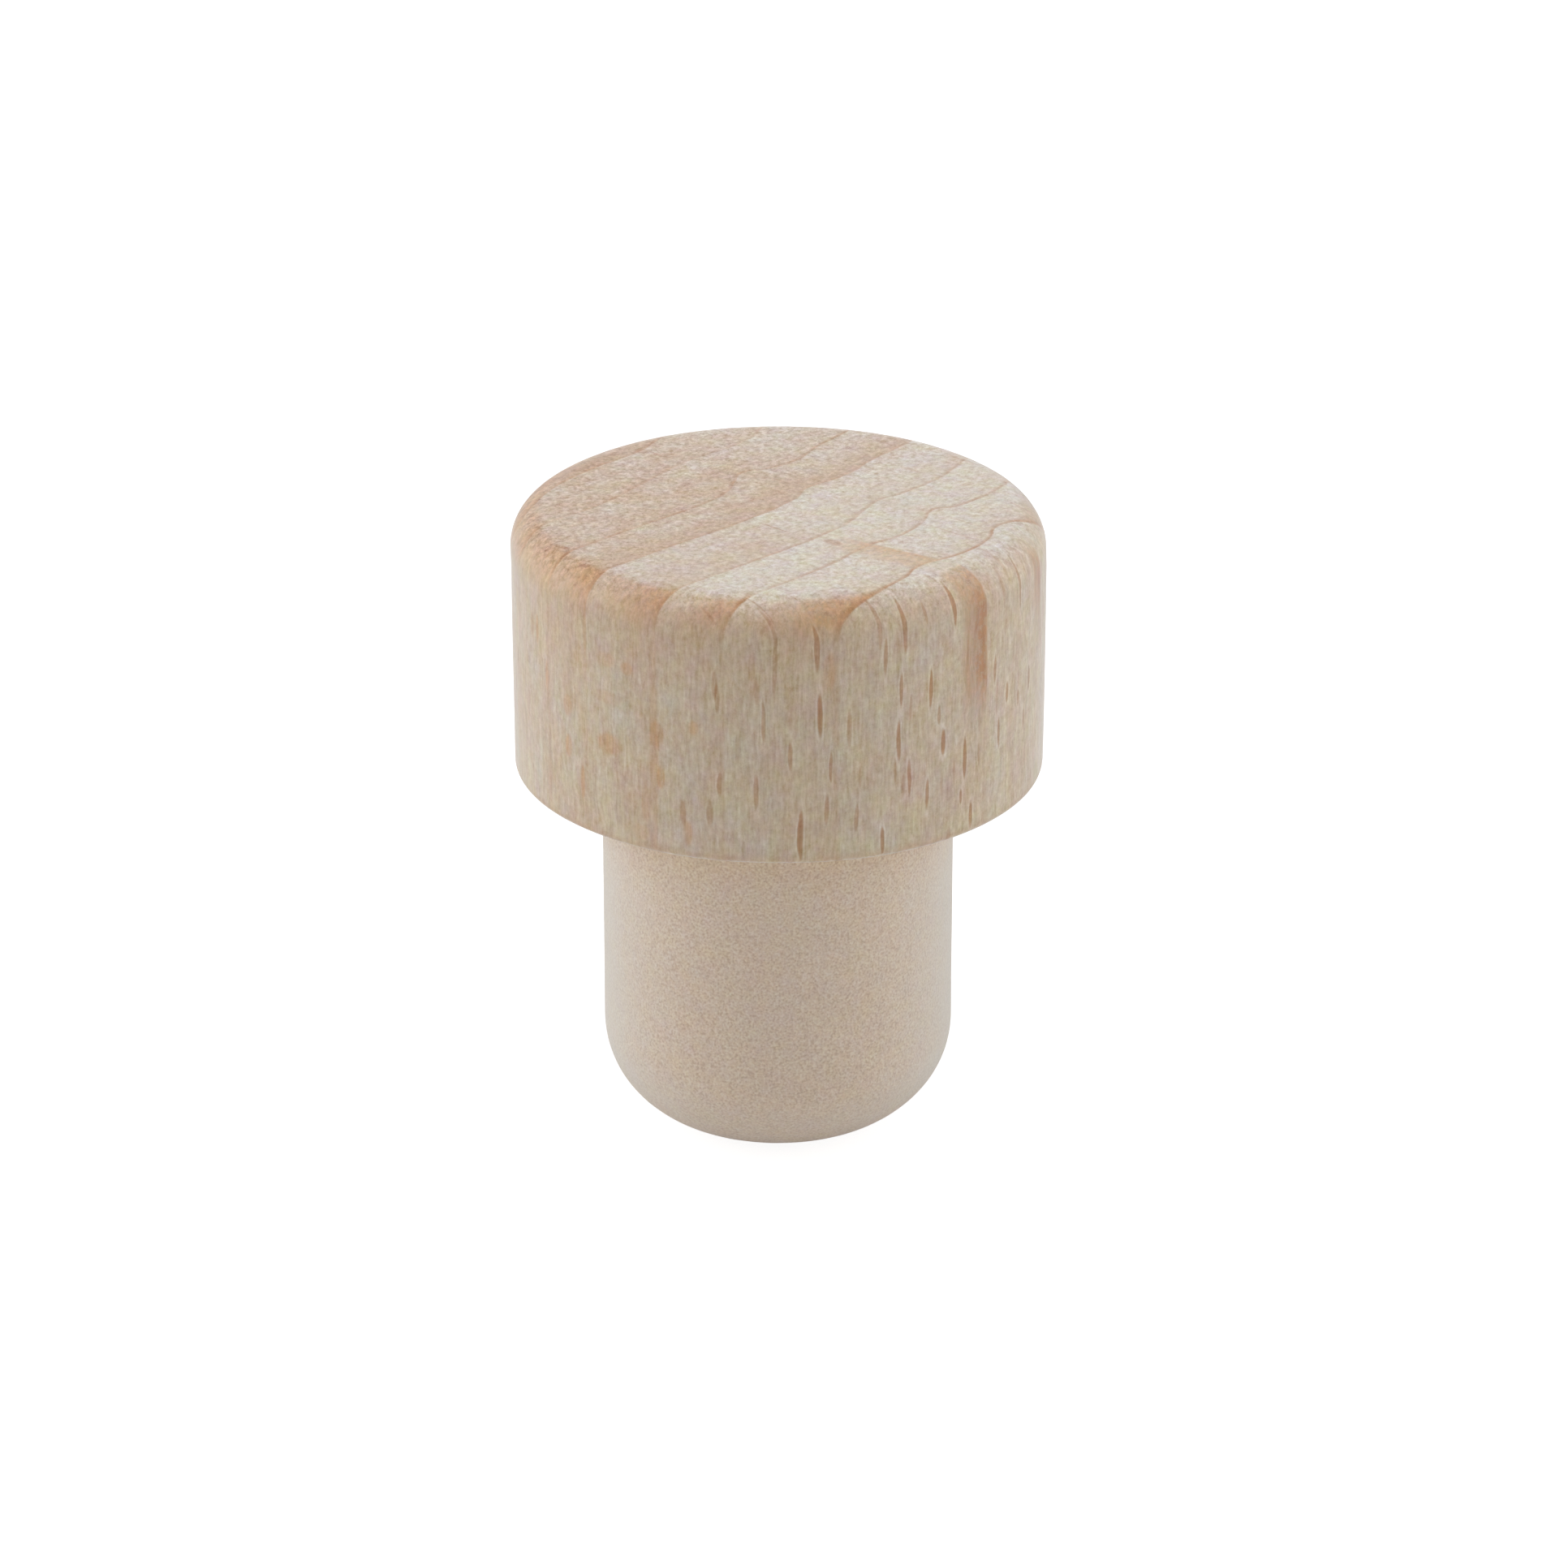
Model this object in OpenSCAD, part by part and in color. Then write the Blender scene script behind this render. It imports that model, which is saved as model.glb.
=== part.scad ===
// Mushroom cork: a turned wooden head glued onto a straight cork-like shank with a rounded nose.
// The origin is the centre of the shank's flat end, and +Z runs up the common axis.

/* [Head] */
// Diameter of the wooden head
head_d = 28.5; // [26:0.5:36]
// Height of the head between its two flat faces
head_h = 14.5; // [11:0.5:20]
// Radius that rounds over the head's top edge
top_round = 2; // [0.5:0.25:4]
// Radius that eases the head's lower edge
lower_round = 0.5; // [0.2:0.1:1]

/* [Shank] */
// Diameter of the shank where it plugs the neck
shank_d = 19; // [16:0.5:22]
// Length of the shank that stands clear of the head
shank_l = 20.5; // [15:0.5:28]
// Radius of the shank's rounded nose
nose_round = 5.5; // [1:0.25:7]

/* [Glued seat] */
// Depth of the recess that the shank is glued into
seat_depth = 5; // [3:0.5:8]
// How much the recess squeezes the shank, on the radius
seat_squeeze = 0.2; // [0.1:0.05:0.5]
// How far the chamfer at the recess's mouth stands clear of the shank
mouth_relief = 0.15; // [0.05:0.05:0.5]
// Glue film round the seated end of the shank
glue_film = 0.05; // [0.02:0.01:0.1]

/* [Hidden] */
$fn = 120;
head_r = head_d / 2;
shank_r = shank_d / 2;
recess_r = shank_r - seat_squeeze;
mouth_r = shank_r + mouth_relief;
seated_r = recess_r - glue_film;
// How far a cut passes the face that it opens
cut_margin = 1;

// What a turned edge loses when the square corner at the origin is rounded
module corner_sliver(radius) {
    difference() {
        translate([-radius, -radius])
            square(radius + cut_margin);
        translate([-radius, -radius])
            circle(r = radius);
    }
}

// Half section of the turned blank: a flat disc with both outer edges rounded
module head_blank_section() {
    difference() {
        square([head_r, head_h]);
        translate([head_r, head_h])
            corner_sliver(top_round);
        translate([head_r, 0])
            mirror([0, 1])
                corner_sliver(lower_round);
    }
}

// Half section of the blind recess: flat floor, straight wall, 45 degree chamfer at the mouth
module recess_section() {
    polygon([
        [0, -cut_margin],
        [mouth_r + cut_margin, -cut_margin],
        [recess_r, mouth_r - recess_r],
        [recess_r, seat_depth],
        [0, seat_depth]
    ]);
}

// Half section of the shank: straight plug, then the end that the recess squeezes
module shank_section() {
    difference() {
        polygon([
            [0, 0],
            [shank_r, 0],
            [shank_r, shank_l],
            [seated_r, shank_l + shank_r - seated_r],
            [seated_r, shank_l + seat_depth],
            [0, shank_l + seat_depth]
        ]);
        translate([shank_r, 0])
            mirror([0, 1])
                corner_sliver(nose_round);
    }
}

module wooden_head() {
    color([0.80, 0.71, 0.60])
        translate([0, 0, shank_l])
            rotate_extrude()
                difference() {
                    head_blank_section();
                    recess_section();
                }
}

module cork_shank() {
    color([0.83, 0.76, 0.69])
        rotate_extrude()
            shank_section();
}

wooden_head();
cork_shank();
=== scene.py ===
import math

import bpy
import numpy as np
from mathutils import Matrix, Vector, noise


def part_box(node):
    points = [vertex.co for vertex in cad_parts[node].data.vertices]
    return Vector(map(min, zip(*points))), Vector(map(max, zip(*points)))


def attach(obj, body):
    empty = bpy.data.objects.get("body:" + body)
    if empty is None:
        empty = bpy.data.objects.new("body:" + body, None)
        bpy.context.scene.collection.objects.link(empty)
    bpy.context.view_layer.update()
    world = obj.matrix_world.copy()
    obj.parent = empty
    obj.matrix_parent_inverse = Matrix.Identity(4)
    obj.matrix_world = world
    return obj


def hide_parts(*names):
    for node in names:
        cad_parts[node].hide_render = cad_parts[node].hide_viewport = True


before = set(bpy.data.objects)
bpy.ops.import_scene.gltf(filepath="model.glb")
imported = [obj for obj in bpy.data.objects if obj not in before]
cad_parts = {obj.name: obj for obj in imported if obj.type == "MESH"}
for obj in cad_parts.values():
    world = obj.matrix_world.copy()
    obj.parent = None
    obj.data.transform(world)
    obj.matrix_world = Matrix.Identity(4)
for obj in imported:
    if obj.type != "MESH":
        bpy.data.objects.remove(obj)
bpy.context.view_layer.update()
mm = 0.001

for leftover in [o for o in bpy.data.objects if o.type in ("CAMERA", "LIGHT")]:
    bpy.data.objects.remove(leftover)
print("stage: frame loaded,", len(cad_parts), "nodes")

# Camera: the view of the photo, from the front and a little above

view = {
    "aimHeight": 17.5,  # mm above the floor, on the cork's axis
    "elevation": 23.5,  # degrees
    "distance": 340,  # mm from the aim point
    "lens": 144.06,
    "shift": (0.0039, 0.0165),
}


def addCamera():
    data = bpy.data.cameras.new("photoView")
    data.lens = view["lens"]
    data.sensor_width = 36
    data.shift_x, data.shift_y = view["shift"]
    data.clip_start = 0.01
    data.clip_end = 50
    camera = bpy.data.objects.new("photoView", data)
    rise = math.radians(view["elevation"])
    reach = view["distance"] * mm
    aim = Vector((0, 0, view["aimHeight"] * mm))
    camera.location = aim + reach * Vector((0, -math.cos(rise), math.sin(rise)))
    camera.rotation_euler = (math.pi / 2 - rise, 0, 0)
    bpy.context.scene.collection.objects.link(camera)
    bpy.context.scene.camera = camera


addCamera()


# Shader helpers: a Wire is one socket, and sums on wires add the Math nodes

class Wire:
    def __init__(self, shade, socket):
        self.shade = shade
        self.socket = socket

    def maths(self, operation, *values):
        made = self.shade.node("Math", {"operation": operation}, dict(enumerate(values)))
        return Wire(self.shade, made.outputs[0])

    def __add__(self, other):
        return self.maths("ADD", self, other)

    def __radd__(self, other):
        return self.maths("ADD", other, self)

    def __sub__(self, other):
        return self.maths("SUBTRACT", self, other)

    def __rsub__(self, other):
        return self.maths("SUBTRACT", other, self)

    def __mul__(self, other):
        return self.maths("MULTIPLY", self, other)

    def __rmul__(self, other):
        return self.maths("MULTIPLY", other, self)

    def __truediv__(self, other):
        return self.maths("DIVIDE", self, other)

    def __rtruediv__(self, other):
        return self.maths("DIVIDE", other, self)

    def __abs__(self):
        return self.maths("ABSOLUTE", self)

    def atLeast(self, other):
        return self.maths("MAXIMUM", self, other)

    def atMost(self, other):
        return self.maths("MINIMUM", self, other)

    # low up to the start value and high from the end value, with a soft rise between them
    def ramp(self, start, end, low=0, high=1):
        sockets = {"Value": self, "From Min": start, "From Max": end, "To Min": low, "To Max": high}
        made = self.shade.node("MapRange", {"interpolation_type": "SMOOTHSTEP"}, sockets)
        return Wire(self.shade, made.outputs["Result"])


class Shade:
    def __init__(self, owner):
        owner.use_nodes = True
        self.tree = owner.node_tree
        self.tree.nodes.clear()

    def node(self, kind, settings=None, sockets=None):
        made = self.tree.nodes.new("ShaderNode" + kind)
        for key, value in (settings or {}).items():
            if key == "curve":
                self.drawCurve(made, value)
            else:
                setattr(made, key, value)
        for key, value in (sockets or {}).items():
            if isinstance(value, Wire):
                self.tree.links.new(value.socket, made.inputs[key])
            else:
                made.inputs[key].default_value = value
        return made

    def wire(self, kind, settings=None, sockets=None, output=0):
        return Wire(self, self.node(kind, settings, sockets).outputs[output])

    def drawCurve(self, made, points):
        made.mapping.extend = "HORIZONTAL"
        line = made.mapping.curves[0]
        while len(line.points) < len(points):
            line.points.new(0.5, 0.5)
        for spot, (across, up) in zip(line.points, points):
            spot.location = (across, up)
        made.mapping.update()

    # three wires or numbers to one vector, and back
    def vector(self, x, y, z):
        return self.wire("CombineXYZ", None, {0: x, 1: y, 2: z})

    def split(self, vector):
        made = self.node("SeparateXYZ", None, {0: vector})
        return [Wire(self, socket) for socket in made.outputs]

    def scaled(self, vector, by):
        return self.wire("VectorMath", {"operation": "MULTIPLY"}, {0: vector, 1: by})

    def moved(self, vector, by):
        return self.wire("VectorMath", {"operation": "ADD"}, {0: vector, 1: by})

    def noise(self, vector, scale, detail=2, roughness=0.5, output=0):
        sockets = {"Vector": vector, "Scale": scale, "Detail": detail, "Roughness": roughness}
        return self.wire("TexNoise", None, sockets, output)

    # two patchy noises about 0, for how yellow and how green a place is
    def tinges(self, vector, scale):
        yellow, green = self.split(self.noise(vector, scale, 3, 0.8, "Color"))[:2]
        return yellow - 0.5, green - 0.5

    # base colour shifted towards another one, by a mask from 0 to 1
    def blend(self, mask, base, towards, how="MIX"):
        settings = {"data_type": "RGBA", "blend_type": how}
        made = self.node("Mix", settings, {0: mask, 6: base, 7: towards})
        return Wire(self, made.outputs[2])

    def finish(self, shader, output="OutputMaterial"):
        self.tree.links.new(shader.socket, self.node(output).inputs[0])


def tint(red, green, blue):
    def linear(value):
        value /= 255
        return value / 12.92 if value <= 0.04045 else ((value + 0.055) / 1.055) ** 2.4
    return (linear(red), linear(green), linear(blue), 1)


# Turned shapes: an outline of radius and height in mm, spun about the axis

def line(start, end, steps):
    share = np.linspace(0, 1, steps + 1)[1:, None]
    return np.asarray(start) * (1 - share) + np.asarray(end) * share


def arc(centre, radius, startAngle, endAngle, steps):
    angle = np.radians(np.linspace(startAngle, endAngle, steps + 1)[1:])
    return np.asarray(centre) + radius * np.stack([np.cos(angle), np.sin(angle)], 1)


def outwardNormals(outline):
    along = np.gradient(outline, axis=0)
    length = np.hypot(along[:, 0], along[:, 1])[:, None]
    return np.stack([-along[:, 1], along[:, 0]], 1) / np.maximum(length, 1e-9)


# The outline runs from the axis at the top, round the outside, to the axis below or inside.
# relief gives how far, in mm, the surface stands out from the outline at a point.
def spin(name, outline, around, relief):
    inner = outline[1:-1]
    normals = outwardNormals(outline)[1:-1]
    angle = np.linspace(0, 2 * math.pi, around, endpoint=False)
    spread = np.stack([np.sin(angle), -np.cos(angle)], 1)
    rings = len(inner)
    points = np.empty((rings, around, 3))
    points[..., :2] = inner[:, None, :1] * spread[None]
    points[..., 2] = inner[:, None, 1]
    facing = np.empty((rings, around, 3))
    facing[..., :2] = normals[:, None, :1] * spread[None]
    facing[..., 2] = normals[:, None, 1]
    flat = points.reshape(-1, 3)
    lift = np.array([relief(Vector(p)) for p in flat])
    flat = flat + facing.reshape(-1, 3) * lift[:, None]
    first, last = len(flat), len(flat) + 1
    tips = [[0, 0, outline[0, 1] + relief(Vector((0, 0, outline[0, 1])))], [0, 0, outline[-1, 1]]]
    verts = np.vstack([flat, tips]) * mm
    step = np.arange(around)
    after = (step + 1) % around
    faces = []
    for ring in range(rings - 1):
        near, far = ring * around, (ring + 1) * around
        faces += np.stack([near + step, far + step, far + after, near + after], 1).tolist()
    faces += np.stack([np.full(around, first), step, after], 1).tolist()
    base = (rings - 1) * around
    faces += np.stack([np.full(around, last), base + after, base + step], 1).tolist()
    mesh = bpy.data.meshes.new(name)
    mesh.from_pydata(verts.tolist(), [], faces)
    mesh.validate()
    mesh.shade_smooth()
    piece = bpy.data.objects.new(name, mesh)
    bpy.context.scene.collection.objects.link(piece)
    return piece


# Wooden head

headLow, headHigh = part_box("wooden_head")
shankLow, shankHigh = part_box("cork_shank")

head = {
    "radius": round(headHigh.x / mm, 2),
    "foot": round(headLow.z / mm, 2),
    "top": round(headHigh.z / mm, 2),
    "topRound": 2.0,
    "lowerRound": 0.42,
    "recessRadius": 9.3,
    "mouthChamfer": 0.35,
    "seatTop": round(shankHigh.z / mm, 2),
    "around": 560,
    "waver": 0.025,  # mm, how far the turning and sanding stray
    "waverPerMm": 0.16,  # how many waves of it
    "grainPerMm": (1.7, 1.7, 0.25),  # waves of the finer part, across and up
    "lean": 0.06,  # mm, how far the side sits to the right of the axis
    "taper": 0.004,  # mm for each mm below the next height
    "taperFrom": 27,
}


def headOutline():
    radius, top, foot = head["radius"], head["top"], head["foot"]
    upper, lower = head["topRound"], head["lowerRound"]
    recess, mouth = head["recessRadius"], head["recessRadius"] + head["mouthChamfer"]
    return np.vstack([
        [(0, top)],
        line((0, top), (radius - upper, top), 40),
        arc((radius - upper, top - upper), upper, 90, 0, 26),
        line((radius, top - upper), (radius, foot + lower), 62),
        arc((radius - lower, foot + lower), lower, 0, -90, 10),
        line((radius - lower, foot), (mouth, foot), 12),
        line((mouth, foot), (recess, foot + head["mouthChamfer"]), 2),
        line((recess, foot + head["mouthChamfer"]), (recess, head["seatTop"]), 5),
        line((recess, head["seatTop"]), (0, head["seatTop"]), 5),
    ])


def headRelief(point):
    if math.hypot(point.x, point.y) < head["recessRadius"] + 0.5 and point.z < head["top"] - 3:
        return 0  # the recess and its mouth fit the shank as they are
    slow = noise.noise(point * head["waverPerMm"] + Vector((3.1, 7.7, 1.9)))
    grain = noise.noise(point * Vector(head["grainPerMm"]) + Vector((0, 0, 4)))
    strayed = head["waver"] * slow + 0.2 * head["waver"] * grain
    fade = min(max((head["top"] - 1 - point.z) / 2, 0), 1)
    leaning = fade * head["lean"] * point.x / head["radius"]
    return strayed + leaning - head["taper"] * max(head["taperFrom"] - point.z, 0)


wooden = spin("turnedHead", headOutline(), head["around"], headRelief)
print("stage: head turned,", len(wooden.data.polygons), "faces")

# Beech: the grain runs up the axis. Rings, rays, pores and stains are solid patterns in a
# frame of their own: s runs along the growth rings, t out towards the bark and z up the grain,
# so the top, the rounded edge and the side all cut through the same wood.

beech = {
    "barkAzimuth": 48,  # degrees from the front towards the right
    "sideTone": tint(210, 191, 167),
    "sideWarm": tint(200, 172, 146),  # faint clouds on the side
    "sideCool": tint(208, 200, 186),
    "topTone": tint(214, 202, 187),
    "topBrown": tint(196, 167, 141),
    "burnTone": tint(198, 156, 118),  # the edge, browned by the cutter and the sanding belt
    "lineTone": tint(178, 128, 84),
    "rayTone": (0.73, 0.52, 0.38, 1),  # multiplies the wood's own colour
    "fleckTone": tint(204, 160, 118),
    "streakTone": tint(184, 136, 96),
    "topRayTone": tint(203, 168, 132),
    "fibre": 0.55,  # contrast of the fine fibres up the side
    "streak": 0.26,  # of the wider streaks
    "speckle": 0.62,  # of the fine speckle
    "bump": 0.03,  # mm
    "sheen": 0.75,
}

# From the pith side to the bark: strength of the ring's line, how brown the wood is just
# inside it and just outside it, and its course as points (s, t) in mm
growthRings = (
    {"line": 0.0, "late": 0.9, "early": 0.9, "course": ((-14, -15), (14, -17))},
    {"line": 0.6, "late": 1.0, "early": 0.45, "course": (
        (-14, -9), (-8, -10.2), (-6, -10.9), (-2, -11.4), (1.3, -11.4), (4, -12), (14, -13.5))},
    {"line": 0.35, "late": 0.65, "early": 0.45, "course": (
        (-14, -7.2), (-10, -7.5), (-6, -7.3), (-2, -7.8), (2, -8.4), (6, -8.2), (9.5, -9.3),
        (14, -11))},
    {"line": 0.6, "late": 0.75, "early": 0.5, "course": (
        (-14, -3.8), (-8, -3.6), (-1, -3.4), (1, -4.1), (2.9, -4.95), (3.7, -4.5), (5.8, -4.1),
        (8.5, -4.7), (11, -5), (14, -6))},
    {"line": 0.3, "late": 0.95, "early": 0.25, "course": (
        (-14, -0.6), (-8, -0.3), (-1, 0.05), (2, -0.3), (3.1, -0.8), (6, -0.6), (9, -1.1),
        (12.5, -1.5), (14, -3))},
    {"line": 0.45, "late": 0.6, "early": 0.1, "course": (
        (-14, 3.8), (-8, 4.25), (0, 4.4), (3, 3.6), (4.5, 3.25), (6, 3.5), (9.5, 3.4), (11, 3),
        (14, 2))},
    {"line": 0.6, "late": 0.5, "early": 0.0, "course": (
        (-14, 7), (-8, 7.6), (-4, 7.6), (-1, 7.3), (1.5, 7.55), (4, 6.9), (5.4, 6.35),
        (6.1, 6.75), (7, 7), (10, 6.85), (12, 6), (14, 5))},
    {"line": 0.75, "late": 0.7, "early": 0.0, "course": (
        (-14, 11.2), (-8, 11.6), (-3.5, 11.75), (-1, 11.15), (0, 11.4), (2, 11.65), (3.4, 11.45),
        (4.7, 10.95), (5.8, 10.4), (6.6, 10.5), (7.6, 10.7), (9.5, 10.6), (14, 10))},
    {"line": 0.0, "late": 0.5, "early": 0.5, "course": ((-14, 16.5), (14, 16.5))},
)

# Medullary rays that the side cuts: azimuth in degrees, height, width and length in mm, strength
spindles = (
    (-13.2, 30.5, 0.34, 1.5, 0.5), (-12.7, 29.8, 0.24, 1.5, 0.5), (-12, 25, 0.22, 1.3, 0.6),
    (-14, 23.3, 0.24, 1.3, 0.5), (-3, 28.6, 0.26, 2.1, 0.65), (-0.7, 32.4, 0.22, 5.0, 0.5),
    (-4.5, 24.7, 0.3, 1.8, 0.6), (2.5, 26.7, 0.26, 1.5, 0.7), (4.7, 22.2, 0.3, 2.7, 1.0),
    (8, 32.6, 0.24, 2.4, 0.8), (8.6, 28.9, 0.26, 2.3, 1.0), (11, 26, 0.22, 1.6, 0.7),
    (10, 23.6, 0.24, 1.6, 0.6), (15, 28, 0.22, 2.0, 0.5), (16.5, 23, 0.24, 1.5, 0.6),
    (21.5, 33.6, 0.24, 2.6, 0.5), (22.8, 31.8, 0.22, 1.9, 0.7), (22.3, 21.5, 0.24, 1.5, 0.9),
    (27.5, 33.3, 0.24, 2.8, 0.8), (26.5, 29.8, 0.22, 1.7, 0.8), (26, 27, 0.24, 2.1, 0.9),
    (28.5, 24.8, 0.22, 1.9, 0.8), (33, 23.6, 0.22, 1.6, 0.8), (33.7, 29.5, 0.22, 2.0, 1.0),
    (35.8, 27.9, 0.2, 1.0, 0.7), (36.8, 26.3, 0.26, 1.4, 1.0), (40, 33.7, 0.24, 2.0, 1.0),
    (43, 25, 0.24, 2.2, 1.0), (42, 22.9, 0.2, 0.8, 0.7), (45, 21.6, 0.24, 1.4, 0.9),
    (52.5, 29.3, 0.22, 1.4, 0.8), (54.3, 25.6, 0.22, 1.6, 0.8), (57.2, 27.6, 0.24, 1.1, 0.8),
    (62.6, 33.3, 0.22, 2.6, 0.7), (62, 26.9, 0.22, 0.9, 0.7), (65, 25.4, 0.24, 1.2, 0.7),
    (67.5, 27.5, 0.3, 1.3, 0.8),
)

# The same where the side lies along the rays, which then show as soft patches
flecks = (
    (-38, 26.1, 1.9, 1.3, 0.8), (-33.3, 30.6, 0.9, 0.8, 0.8), (-26.3, 27.3, 0.9, 1.7, 0.7),
    (-25.3, 24.9, 0.5, 1.4, 0.8), (-50.5, 27.4, 0.8, 1.4, 0.8), (-50.5, 25.1, 0.7, 1.4, 0.8),
    (-46, 23.4, 0.4, 2.2, 0.8), (-28.7, 23.4, 0.7, 2.6, 0.5), (-39, 30.8, 1.6, 0.9, 0.4),
    (-19.3, 22, 0.6, 1.6, 0.6), (-58.3, 28.4, 0.35, 1.9, 0.9), (-62.5, 30.7, 0.35, 1.8, 0.8),
    (-38.5, 28.7, 2.4, 0.8, 0.35), (-44.7, 32.2, 0.3, 3.2, 0.6), (-30, 21.6, 1.2, 1.0, 0.35),
    (-18, 28, 0.6, 0.9, 0.7), (10.7, 31.3, 0.5, 2.4, 0.6), (-26.8, 26.5, 0.6, 12, 0.35),
)

# Rays and spots on the top: s, t and z of the middle, size along each, strength
topRays = (
    (3.4, 9.4, 34, 0.16, 4.6, 5, 0.5), (0, -7.2, 34, 0.14, 3.0, 5, 0.4),
    (1.7, -10.2, 34, 0.22, 2.6, 5, 0.6), (1.4, -11.3, 34.5, 0.7, 0.9, 3, 0.8),
    (-11.8, -4.3, 34.4, 0.32, 1.1, 2, 0.9), (6.1, -3.4, 34.5, 0.14, 1.6, 5, 0.4),
    (12.1, 2.4, 34.5, 0.3, 2.6, 3, 0.5), (8.9, 8.8, 34, 0.16, 1.8, 5, 0.5),
    (5.0, 8.6, 34, 0.14, 2.2, 5, 0.4), (-10.6, 7.8, 34, 0.1, 3.6, 3, 0.5),
    (-0.45, -0.15, 35, 0.7, 0.5, 1, 0.7), (-2.35, 2, 35, 0.16, 2.2, 4, 0.9),
    (-1.9, 5.6, 35, 0.7, 1.3, 3, 0.8), (-2.6, -2, 35, 0.12, 2.4, 4, 0.4),
    (7.2, 0.5, 35, 0.12, 2.4, 4, 0.35), (11.2, -2.4, 35, 0.14, 1.8, 4, 0.5),
    (-1.2, 4.0, 35, 0.12, 2.2, 4, 0.3), (3.1, -2.0, 35, 0.12, 2.6, 4, 0.4),
    (4.5, 3.9, 35, 1.3, 3.4, 4, 0.22), (3.2, -3.2, 35, 0.9, 3.0, 4, 0.25),
    (-3.2, -12.1, 34.6, 9, 1.4, 3, 0.45),
)

# How dark a mark is from its middle to its surroundings; a crisp one has pale flanks
softProfile = ((0, 1), (0.3, 1), (0.575, 0), (1, 0))
crispProfile = ((0, 1), (0.4, 0.95), (0.58, 0.25), (0.7, 0.06), (0.84, 0.16), (1, 0.25))

# Broad rays: s at the bark, how it drifts for each mm inwards, half width, the t where it
# ends inwards and the height where it runs out
broadRays = (
    (-0.58, 0.15, 1.08, 4.5, 27.6),
    (6.3, 0.25, 0.75, 10.2, 30),
)


class Beech(Shade):
    def __init__(self, owner):
        super().__init__(owner)
        place = self.wire("TexCoord", None, None, "Object")
        self.place = self.scaled(place, (1000, 1000, 1000))  # mm
        x, y, self.z = self.split(self.place)
        bark = math.radians(beech["barkAzimuth"])
        self.t = x * math.sin(bark) - y * math.cos(bark)
        self.s = x * math.cos(bark) + y * math.sin(bark)
        up = abs(self.split(self.wire("TexCoord", None, None, "Normal"))[2])
        self.endGrain = up.ramp(0.4, 0.95)
        # browned where the top bends over to the side, further in towards the bark
        below = 1 - up.ramp(self.t.ramp(0, 8, 0.93, 0.85), self.t.ramp(0, 8, 0.9995, 0.992))
        self.burnt = below * self.z.ramp(32.5, 34.6) * self.s.ramp(6, -7, 0.4, 1)
        self.wobble = self.noise(self.scaled(self.place, (1, 1, 0.3)), 0.9, 3) - 0.5
        self.grain = self.vector(self.s + self.wobble * 0.3, self.t + self.wobble * 0.2, self.z)
        self.stray = (self.s + self.wobble * 3, self.t + self.wobble * 2)

    # the ring's distance out at this place, read off its course
    def courseOf(self, ring, share):
        across, swing = 2 * head["radius"], 8.0
        low = ring["course"][0][1] - swing / 2
        points = [(0.5 + s / across, (t - low) / swing) for s, t in ring["course"]]
        drawn = self.wire("FloatCurve", {"curve": points}, {"Value": share})
        return self.wire("Math", {"operation": "MULTIPLY_ADD"}, {0: drawn, 1: swing, 2: low})

    # masks of the ring lines and of the brown wood inside each of them
    def rings(self):
        s, t, z = self.split(self.grain)
        share = (s + head["radius"]) / (2 * head["radius"])
        lines = brown = 0
        inner, innerGate, early = None, None, 0
        for ring in growthRings:
            course = self.courseOf(ring, share)
            past = t - course
            gate = past.ramp(-0.03, 0.09)
            if ring["line"]:
                line = past.ramp(-0.3, -0.02) * past.ramp(0.11, 0) * ring["line"]
                lines = line.atLeast(lines)
            if inner is not None:
                sockets = {"Value": t, "From Min": inner, "From Max": course}
                phase = self.wire("MapRange", {"interpolation_type": "LINEAR"}, sockets)
                part = phase.ramp(0.15, 1, early, ring["late"]) * (innerGate - gate)
                brown = brown + part
            inner, innerGate, early = course, gate, ring["early"]
        return lines, brown

    # soft ellipsoids: middle and full sizes in mm. The profile tells how dark each is from its
    # middle at 0, by its surface at 0.5, to the plain wood round it at 1.
    def marks(self, places, profile):
        total, plain = 0, 0
        for middle, sizes, strength in places:
            by = tuple(1 / size for size in sizes)
            shift = tuple(-m * b for m, b in zip(middle, by))
            sockets = {0: self.grain, 1: by, 2: shift}
            local = self.wire("VectorMath", {"operation": "MULTIPLY_ADD"}, sockets)
            far = self.wire("VectorMath", {"operation": "LENGTH"}, {0: local}, "Value")
            dark = self.wire("FloatCurve", {"curve": profile}, {"Value": far})
            sockets = {0: dark, 1: strength, 2: total}
            total = self.wire("Math", {"operation": "MULTIPLY_ADD"}, sockets)
            plain += strength * profile[-1][1]
        return (total - plain) / (1 - profile[-1][1])

    # where a mark on the side lies in the wood, and how deep and thick its ray is
    def sidePlaces(self, cuts, flat=False):
        for azimuth, height, width, length, strength in cuts:
            turn = math.radians(azimuth - beech["barkAzimuth"])
            middle = (head["radius"] * math.sin(turn), head["radius"] * math.cos(turn), height)
            sizes = (1.4, width, length) if flat else (width * abs(math.cos(turn)), 4, length)
            yield middle, sizes, strength

    # scattered rays: thin along the rings, deep outwards, a few mm high
    def scattered(self, thickness, height, depth, keep, seed):
        cells = self.scaled(self.grain, (1 / thickness, 1 / depth, 1 / height))
        cells = self.moved(cells, (seed, seed * 0.7, seed * 1.3))
        made = self.node("TexVoronoi", {"feature": "F1"}, {"Vector": cells, "Scale": 1})
        chance = self.split(Wire(self, made.outputs["Color"]))
        kept = chance[0].ramp(1 - keep - 0.02, 1 - keep + 0.02)
        near = Wire(self, made.outputs["Distance"])
        return (0.16 + 0.14 * chance[1] - near).ramp(0, 0.1) * kept * (0.5 + 0.5 * chance[2])

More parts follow.
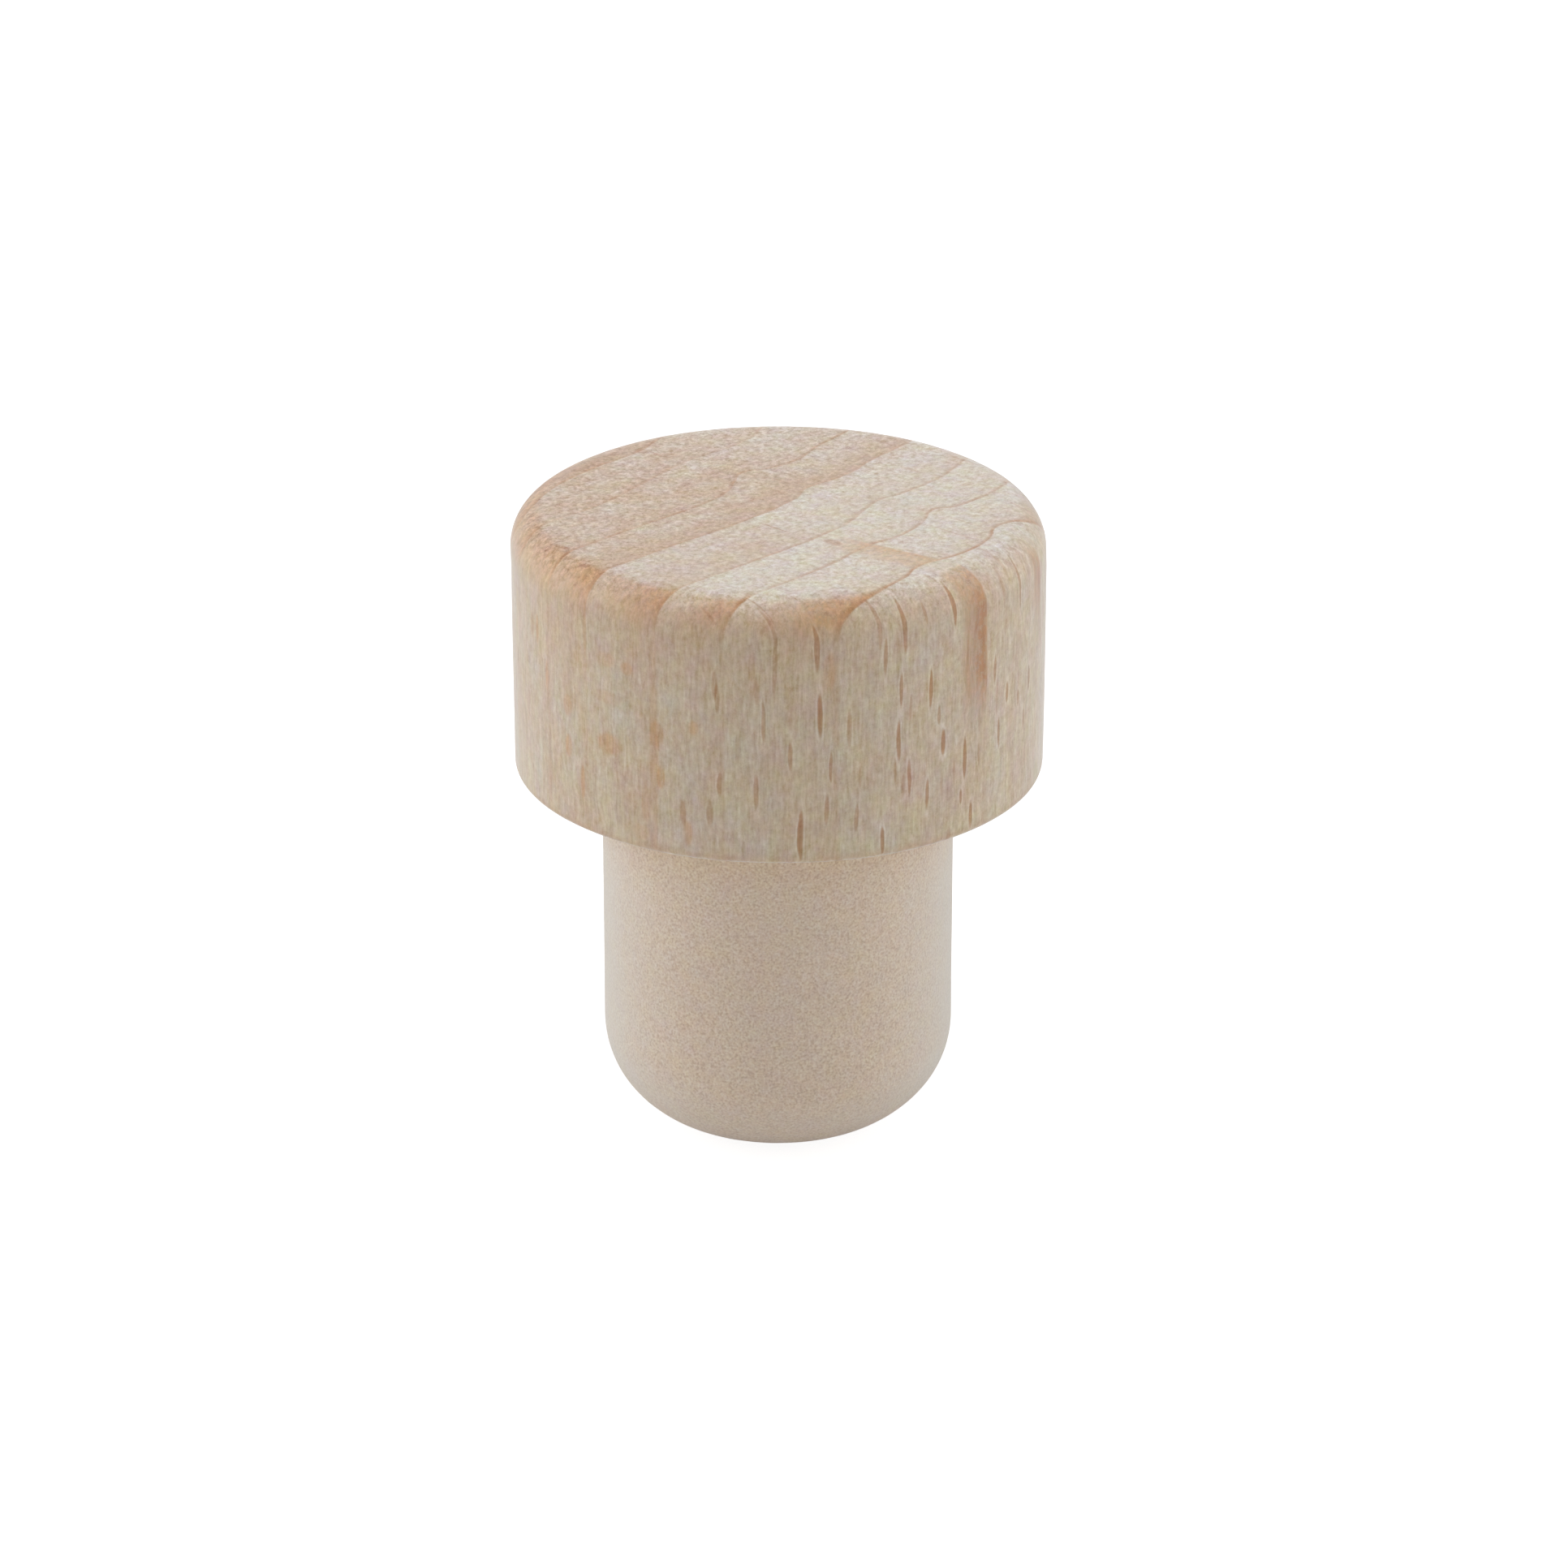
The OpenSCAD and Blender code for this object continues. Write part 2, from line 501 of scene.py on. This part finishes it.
    def broadRay(self, atBark, drift, half, innerEnd, foot):
        s, t, z = self.split(self.grain)
        aside = s - (t - head["radius"]) * drift - atBark
        body = aside.ramp(-half, -half * 0.4) * aside.ramp(half, half * 0.75)
        edge = 0.6 + 0.4 * aside.ramp(-half * 0.3, half * 0.8)
        gap = 1 - 0.75 * t.ramp(11, 11.6) * t.ramp(12.9, 12.3)
        lower = z.ramp(foot - 1.4, foot + 2.4, 0, 0.88) + z.ramp(foot - 6, foot - 1, 0, 0.12)
        return body * edge * gap * t.ramp(innerEnd, innerEnd + 3) * lower

    # pores and fibres: dots on the end grain, wavy streaks up the side
    def fibres(self, fineness, stretch, detail=2):
        swayed = self.vector(self.s + self.wobble * 0.9, self.t - self.wobble * 0.9, self.z)
        drawn = self.scaled(swayed, (fineness, fineness, fineness / stretch))
        return self.noise(drawn, 1, detail, 0.6) - 0.5


def beechMaterial():
    material = bpy.data.materials.new("beech")
    wood = Beech(material)
    endGrain, burnt = wood.endGrain, wood.burnt
    lines, brown = wood.rings()
    fibre = wood.fibres(6.5, 9)
    streaks = wood.fibres(3, 13)
    speckle = wood.noise(wood.grain, 2.6, 3, 0.85) - 0.5
    yellow, green = wood.tinges(wood.scaled(wood.place, (1, 1, 0.7)), 0.75)
    cloud = wood.noise(wood.scaled(wood.place, (1, 1, 0.4)), 0.5)

    # the side has faint clouds, the top is browner inside the rings and towards the heart
    side = wood.blend((brown * 0.16).atMost(1), beech["sideTone"], beech["burnTone"])
    side = wood.blend(cloud.ramp(0.5, 0.75) * 0.3, side, beech["sideWarm"])
    side = wood.blend(cloud.ramp(0.5, 0.28) * 0.3, side, beech["sideCool"])
    heart = wood.stray[1].ramp(0.6, -1.4) * wood.stray[0].ramp(8, 2, 0.35, 1)
    heart = heart.atLeast(wood.stray[1].ramp(4.9, 3.6) * wood.stray[0].ramp(-1, -3) * 0.7)
    heart = heart * 0.5 + wood.wobble * heart * 1.4
    browned = (brown * brown * 0.85 + heart).atMost(1).atLeast(0)
    top = wood.blend(browned, beech["topTone"], beech["topBrown"])
    tanned = wood.z.ramp(28.5, 33.5) * wood.s.ramp(-5, -12)
    lip = wood.z.ramp(21.2, 20.8)
    side = wood.blend((tanned * 0.2).atLeast(lip * 0.25), side, beech["burnTone"])
    colour = wood.blend(endGrain, side, top)

    # the browned edge, then the ring lines and the broad rays over it
    dots = streaks + speckle * 1.4
    mottled = dots.ramp(-0.16, 0.16, 0.7, 1.08)
    burnShare = burnt * mottled * (0.22 + 1.05 * brown) * wood.t.ramp(-5, 9, 0.8, 1.2)
    colour = wood.blend(burnShare.atMost(1), colour, beech["burnTone"])
    broken = 0.55 + 0.9 * wood.wobble.ramp(-0.2, 0.2)
    lineAmount = (0.22 + 0.6 * endGrain + 0.3 * burnt) * broken
    colour = wood.blend((lines * lineAmount).atMost(1), colour, beech["lineTone"])
    for atBark, drift, half, innerEnd, foot in broadRays:
        band = wood.broadRay(atBark, drift, half, innerEnd, foot)
        ray = wood.blend(endGrain, beech["streakTone"], beech["topRayTone"])
        colour = wood.blend(band * dots.ramp(-0.12, 0.14, 0.62, 1.1), colour, ray)

    # flecks and rays
    frayed = 0.6 + 0.4 * streaks.ramp(-0.1, 0.1)
    fleck = wood.marks(wood.sidePlaces(flecks, flat=True), softProfile).atMost(1) * frayed
    colour = wood.blend(fleck * 0.85, colour, beech["fleckTone"])
    crisp = wood.marks(wood.sidePlaces(spindles), crispProfile)
    rays = crisp.atLeast(0)
    onTop = wood.marks([(ray[:3], ray[3:6], ray[6]) for ray in topRays], softProfile)
    loose = wood.scattered(0.6, 5, 12, 0.3, 3.7).atLeast(wood.scattered(0.45, 3.6, 8, 0.2, 11.2))
    rays = rays.atLeast(onTop * 0.9).atLeast(loose * 0.55 * (1 - 0.45 * endGrain))
    rays = rays * (0.7 + 0.3 * frayed)
    darker = wood.blend(1, colour, beech["rayTone"], "MULTIPLY")
    colour = wood.blend(rays.atMost(1), colour, darker)

    # light and dark fibres and pores, a little redder or yellower from place to place
    sideShade = fibre * beech["fibre"] + streaks * beech["streak"] + speckle * beech["speckle"]
    sideShade = sideShade * wood.s.ramp(-12, 5, 1.2, 1.32)
    topShade = speckle * wood.t.ramp(4, -6, 1.8, 2.7)
    shade = sideShade + endGrain * (topShade - sideShade)
    shade = shade - crisp.atMost(0) * 0.6 + burnt * speckle * 0.3
    tints = wood.vector(
        1 + shade * 0.75 + yellow * 0.1,
        1 + shade + green * 0.36,
        1 + shade * 1.35 - yellow * 0.5,
    )
    colour = wood.blend(1, colour, tints, "MULTIPLY")

    relief = fibre * 0.5 + speckle * 0.5 - rays * 0.3
    bump = {"Strength": 0.5, "Distance": beech["bump"] * mm, "Height": relief}
    wood.finish(wood.wire("BsdfPrincipled", None, {
        "Base Color": colour,
        "Roughness": 0.5 + 0.15 * fibre,
        "Normal": wood.wire("Bump", None, bump),
        "IOR": 1.45,
        "Sheen Weight": beech["sheen"],
        "Sheen Roughness": 0.35,
    }))
    return material


wooden.data.materials.append(beechMaterial())
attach(wooden, "root")
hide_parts("wooden_head")
print("stage: beech laid")

# Synthetic cork shank

shank = {
    "radius": round(shankHigh.x / mm, 2),
    "length": head["foot"],
    "noseRound": 5.5,
    "seatedRadius": 9.25,
    "around": 520,
    "waver": 0.02,  # mm
    "waverPerMm": 0.22,
    "dimplePerMm": 1.4,
}


def shankOutline():
    radius, length, nose = shank["radius"], shank["length"], shank["noseRound"]
    seated = shank["seatedRadius"]
    taperTop = length + radius - seated
    return np.vstack([
        [(0, head["seatTop"])],
        line((0, head["seatTop"]), (seated, head["seatTop"]), 5),
        line((seated, head["seatTop"]), (seated, taperTop), 5),
        line((seated, taperTop), (radius, length), 2),
        line((radius, length), (radius, nose), 80),
        arc((radius - nose, nose), nose, 0, -90, 54),
        line((radius - nose, 0), (0, 0), 20),
    ])


def shankRelief(point):
    if point.z > shank["length"] - 0.2 or point.z < 0.01:
        return 0
    slow = noise.noise(point * shank["waverPerMm"] + Vector((8.3, 2.4, 5.5)))
    dimple = noise.noise(point * shank["dimplePerMm"] + Vector((1.5, 9.2, 0.7)))
    return shank["waver"] * slow + 0.25 * shank["waver"] * dimple


cork = spin("corkShank", shankOutline(), shank["around"], shankRelief)
print("stage: shank moulded,", len(cork.data.polygons), "faces")

foam = {
    "tone": tint(225, 204, 183),
    "paleGrain": tint(240, 225, 207),
    "darkGrain": tint(202, 176, 153),
    "paintedShadeUnderHead": (1, 0.97, 0.9, 1),  # painted shade and warm bounce light just under the head, times the tone
    # the colour and the share of the painted sheen on the shank's sides
    "paintedSheen": tint(226, 227, 222),
    "paintedSheenShare": 0.5,
    "grainPerMm": 7.5,
    "dustPerMm": 13,
    "bump": 0.06,  # mm
    "sheen": 0.4,
}


def foamMaterial():
    material = bpy.data.materials.new("foamedCork")
    skin = Shade(material)
    place = skin.scaled(skin.wire("TexCoord", None, None, "Object"), (1000, 1000, 1000))  # mm
    z = skin.split(place)[2]
    grain = skin.noise(place, foam["grainPerMm"], 1)
    dust = skin.noise(place, foam["dustPerMm"], 1)
    cloud = skin.noise(place, 0.5)
    colour = skin.blend(grain.ramp(0.5, 0.68) * 0.68, foam["tone"], foam["paleGrain"])
    colour = skin.blend(grain.ramp(0.48, 0.3) * 0.72, colour, foam["darkGrain"])
    # painted shade: the tone darkened and warmed towards the head, as shade under it with light
    # bounced off the wood
    colour = skin.blend(z.ramp(15.5, 20), colour, foam["paintedShadeUnderHead"], "MULTIPLY")
    shade = 1 + (cloud - 0.5) * 0.04 + (dust - 0.5) * 0.18
    yellow, green = skin.tinges(place, 0.75)
    tints = skin.vector(shade + yellow * 0.08, shade + green * 0.15, shade - yellow * 0.32)
    colour = skin.blend(1, colour, tints, "MULTIPLY")
    bump = {"Strength": 0.8, "Distance": foam["bump"] * mm, "Height": grain * 0.7 + dust * 0.3}
    plain = skin.wire("BsdfPrincipled", None, {
        "Base Color": colour,
        "Roughness": 0.45 + 0.1 * dust,
        "Normal": skin.wire("Bump", None, bump),
        "IOR": 1.45,
        "Sheen Weight": foam["sheen"],
        "Sheen Roughness": 0.4,
    })
    # painted sheen: a pale diffuse colour mixed in where the skin is seen aslant, faded out on the
    # nose and in the head's shade
    aslant = skin.wire("LayerWeight", None, {"Blend": 0.5}, "Facing").ramp(0.15, 0.85)
    share = aslant * z.ramp(0.6, 4.5) * z.ramp(19.5, 14.5) * foam["paintedSheenShare"]
    paintedSheen = skin.wire("BsdfDiffuse", None, {"Color": foam["paintedSheen"]})
    skin.finish(skin.wire("MixShader", None, {0: share, 1: plain, 2: paintedSheen}))
    return material


cork.data.materials.append(foamMaterial())
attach(cork, "root")
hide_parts("cork_shank")
print("stage: foam laid")

# Studio: pale floor, white surroundings, soft boxes left, right and above

studio = {
    "floorSize": 6.0,  # m
    "floorDrop": 0.02,  # mm below the cork's end
    "floorBounce": 0.78,  # how pale the floor is to the cork
    "floorFill": 0.08,  # and how much it glows
    "floorGrey": 0.3,  # the same for the camera: white, with the cork's shadow
    "floorGlow": 0.9,
    "ambient": 0.35,  # of the white surroundings, on diffuse surfaces
    "aimHeight": 18,  # mm, where the boxes point
    "boxes": (
        # name, azimuth and elevation in degrees, distance and size in m, watts
        ("leftBox", -100, 18, 0.7, 0.6, 2.4),
        ("rightBox", 97, 18, 0.7, 0.6, 1.75),
        ("topBox", 0, 88, 0.7, 0.5, 1.82),
    ),
}


def addFloor():
    half, low = studio["floorSize"] / 2, -studio["floorDrop"] * mm
    corners = [(-half, -half, low), (half, -half, low), (half, half, low), (-half, half, low)]
    mesh = bpy.data.meshes.new("floor")
    mesh.from_pydata(corners, [], [(0, 1, 2, 3)])
    floor = bpy.data.objects.new("floor", mesh)
    bpy.context.scene.collection.objects.link(floor)
    material = bpy.data.materials.new("paleFloor")
    paper = Shade(material)

    def glowing(grey, strength):
        dull = paper.wire("BsdfDiffuse", None, {"Color": (grey, grey, grey, 1)})
        glow = paper.wire("Emission", None, {"Color": (1, 1, 1, 1), "Strength": strength})
        return paper.wire("AddShader", None, {0: dull, 1: glow})

    seen = paper.wire("LightPath", None, None, "Is Camera Ray")
    toCork = glowing(studio["floorBounce"], studio["floorFill"])
    toCamera = glowing(studio["floorGrey"], studio["floorGlow"])
    paper.finish(paper.wire("MixShader", None, {0: seen, 1: toCork, 2: toCamera}))
    mesh.materials.append(material)


def addWorld():
    world = bpy.data.worlds.new("studioAir")
    bpy.context.scene.world = world
    air = Shade(world)
    path = air.node("LightPath")
    seen = Wire(air, path.outputs["Is Camera Ray"]).atLeast(Wire(air, path.outputs["Is Glossy Ray"]))
    strength = studio["ambient"] + seen * (1 - studio["ambient"])
    glow = air.wire("Background", None, {"Color": (1, 1, 1, 1), "Strength": strength})
    air.finish(glow, "OutputWorld")


def addBoxes():
    aim = Vector((0, 0, studio["aimHeight"] * mm))
    for name, azimuth, elevation, distance, size, watts in studio["boxes"]:
        data = bpy.data.lights.new(name, "AREA")
        data.shape = "SQUARE"
        data.size = size
        data.energy = watts
        box = bpy.data.objects.new(name, data)
        side, rise = math.radians(azimuth), math.radians(elevation)
        level = Vector((math.sin(side), -math.cos(side), 0))
        away = level * math.cos(rise) + Vector((0, 0, math.sin(rise)))
        box.location = aim + distance * away
        box.rotation_euler = away.to_track_quat("Z", "Y").to_euler()
        bpy.context.scene.collection.objects.link(box)


addFloor()
addWorld()
addBoxes()
bpy.context.scene.view_settings.view_transform = "Standard"
print("stage: studio lit")
